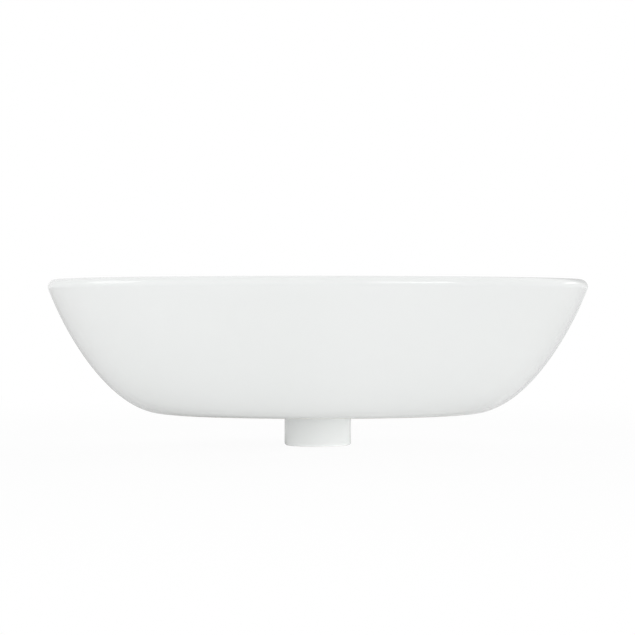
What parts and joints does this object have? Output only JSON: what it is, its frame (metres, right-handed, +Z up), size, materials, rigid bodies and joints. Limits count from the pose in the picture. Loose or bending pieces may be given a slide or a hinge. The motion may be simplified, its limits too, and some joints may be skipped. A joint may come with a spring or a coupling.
{
  "type": "countertop basin",
  "caption": "Oval white glazed ceramic countertop basin with a rounded rim, walls that lean in to a flat foot, a short outlet neck and a chromed push-to-close waste plug.",
  "frame": {"origin": "on the axis of the outlet neck, in the plane of the counter that the foot ring stands on", "axes": "+Z up, +X along the basin's width to the right seen from the front, -Y towards the front, -Z along the outlet"},
  "size_m": [0.55, 0.4, 0.169],
  "materials": {
    "glazed_ceramic": "gloss white glaze",
    "chrome": "polished",
    "brass": "turned",
    "black_rubber": "matt",
    "white_plastic": "moulded",
    "spring_steel": "drawn wire"
  },
  "bodies": {
    "basin_body": {"basin": "glazed_ceramic", "waste_body": "chrome", "flange_gasket": "black_rubber", "lower_gasket": "black_rubber", "slip_washer": "white_plastic", "back_nut": "brass", "cartridge_barrel": "brass", "barrel_collar": "brass", "stud_nut": "brass", "click_spring": "spring_steel"},
    "plug": {"plug_cap": "chrome", "plug_seal": "black_rubber", "plunger": "brass"},
    "rotor": {"ratchet_rotor": "white_plastic"}
  },
  "joints": [
    {"name": "plug_slide", "type": "slide", "parent": "basin_body", "child": "plug", "axis": [0, 0, 1], "range_m": [-0.009, 0], "stiffness_N_per_m": 500, "springref_m": 0.005, "deforming": ["click_spring"]},
    {"name": "rotor_turn", "type": "hinge", "parent": "plug", "child": "rotor", "pos_m": [0, 0, 0.0047], "axis": [0, 0, 1], "range_deg": [0, 45]}
  ],
  "couplings": [
    {"joint": "rotor_turn", "follows": "plug_slide", "rad_per_m": -87.266}
  ]
}
